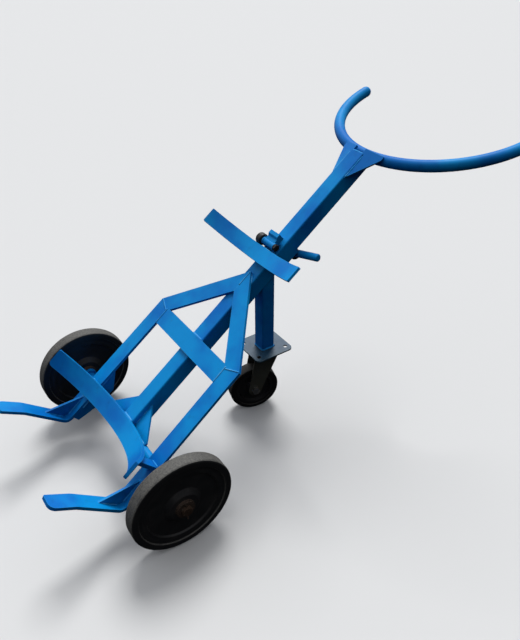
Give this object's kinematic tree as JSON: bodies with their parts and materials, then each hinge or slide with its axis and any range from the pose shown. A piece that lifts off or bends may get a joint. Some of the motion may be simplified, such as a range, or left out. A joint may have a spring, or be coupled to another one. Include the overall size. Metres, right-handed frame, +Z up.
{
  "type": "three-wheeled drum truck",
  "caption": "Leaning welded steel truck with toes, curved saddle, sliding rim catch, bow handle, two wheels and a rear swivel caster, for tilting and rolling a drum.",
  "frame": {"origin": "on the ground under the middle of the bounding box", "axes": "+Y from the toes towards the handle, +X to the truck's one side along the axle, +Z up"},
  "size_m": [0.6308, 1.2566, 0.748],
  "materials": {
    "blue_paint": "satin azure blue enamel with edge wear",
    "wheel_rubber": "dusty matt black",
    "wheel_centre": "black moulded",
    "rusty_steel": "rust-stained bare steel",
    "caster_steel": "blue over-sprayed pressed steel",
    "bright_steel": "zinc plated",
    "black_steel": "black oxide",
    "black_plastic": "moulded black cap",
    "caster_rubber": "matt black",
    "caster_centre": "black moulded",
    "bush_plastic": "natural nylon"
  },
  "bodies": {
    "frame": {"axle_bracket_left": "blue_paint", "axle_bracket_right": "blue_paint", "axle_collars": "blue_paint", "axle_shaft": "blue_paint", "axle_washers": "rusty_steel", "caster_balls": "bright_steel", "caster_lower_race": "caster_steel", "caster_plate": "caster_steel", "caster_upper_race": "caster_steel", "diagonal_left": "blue_paint", "diagonal_right": "blue_paint", "handle_bow": "blue_paint", "handle_cap_left": "blue_paint", "handle_cap_right": "blue_paint", "kingpin": "bright_steel", "kingpin_nut": "bright_steel", "lower_gusset_left": "blue_paint", "lower_gusset_right": "blue_paint", "rear_leg": "blue_paint", "saddle": "blue_paint", "saddle_stay_left": "blue_paint", "saddle_stay_right": "blue_paint", "side_member_left": "blue_paint", "side_member_right": "blue_paint", "spine_end_plate": "blue_paint", "spine_tube": "blue_paint", "split_pins": "rusty_steel", "toe_gusset_left": "blue_paint", "toe_gusset_right": "blue_paint", "upper_crossbar": "blue_paint", "upper_gusset_left": "blue_paint", "upper_gusset_right": "blue_paint"},
    "left_wheel": {"wheel_tyre_left": "wheel_rubber", "wheel_core_left": "wheel_centre", "wheel_hub_left": "rusty_steel"},
    "right_wheel": {"wheel_tyre_right": "wheel_rubber", "wheel_core_right": "wheel_centre", "wheel_hub_right": "rusty_steel"},
    "caster_swivel": {"caster_fork": "caster_steel", "caster_axle_bolt": "bright_steel", "caster_axle_nut": "bright_steel", "caster_spacer": "bright_steel"},
    "caster_wheel": {"caster_tyre": "caster_rubber", "caster_core": "caster_centre", "caster_bush": "bush_plastic"},
    "catch_carriage": {"catch_sleeve": "blue_paint", "clamp_boss": "blue_paint", "catch_plate": "blue_paint", "catch_spacer": "blue_paint", "hook_ears": "blue_paint", "pivot_bolt": "black_steel", "pivot_nut": "black_steel", "pivot_washers": "black_steel", "pivot_cap": "black_plastic"},
    "chime_hook": {"chime_hook": "blue_paint"},
    "clamp_handle": {"clamp_screw": "black_steel", "clamp_bar": "blue_paint"}
  },
  "joints": [
    {"name": "left_wheel_spin", "type": "hinge", "parent": "frame", "child": "left_wheel", "pos_m": [-0.279, -0.37073, 0.125], "axis": [1, 0, 0], "continuous": true},
    {"name": "right_wheel_spin", "type": "hinge", "parent": "frame", "child": "right_wheel", "pos_m": [0.279, -0.37073, 0.125], "axis": [1, 0, 0], "continuous": true},
    {"name": "caster_swivel_turn", "type": "hinge", "parent": "frame", "child": "caster_swivel", "pos_m": [0, 0.04927, 0.19], "axis": [0, 0, 1], "continuous": true},
    {"name": "caster_wheel_spin", "type": "hinge", "parent": "caster_swivel", "child": "caster_wheel", "pos_m": [-0.00906, 0.01546, 0.07], "axis": [0.9659, -0.2588, 0], "continuous": true},
    {"name": "catch_slide", "type": "slide", "parent": "frame", "child": "catch_carriage", "axis": [0, 0.7934, 0.6088], "range_m": [0, 0.205]},
    {"name": "chime_hook_turn", "type": "hinge", "parent": "catch_carriage", "child": "chime_hook", "pos_m": [0, 0.06482, 0.51341], "axis": [1, 0, 0], "range_deg": [0, 100]},
    {"name": "clamp_screw_turn", "type": "hinge", "parent": "catch_carriage", "child": "clamp_handle", "pos_m": [0, 0.13842, 0.46842], "axis": [0, -0.6088, 0.7934], "range_deg": [-180, 180]}
  ]
}
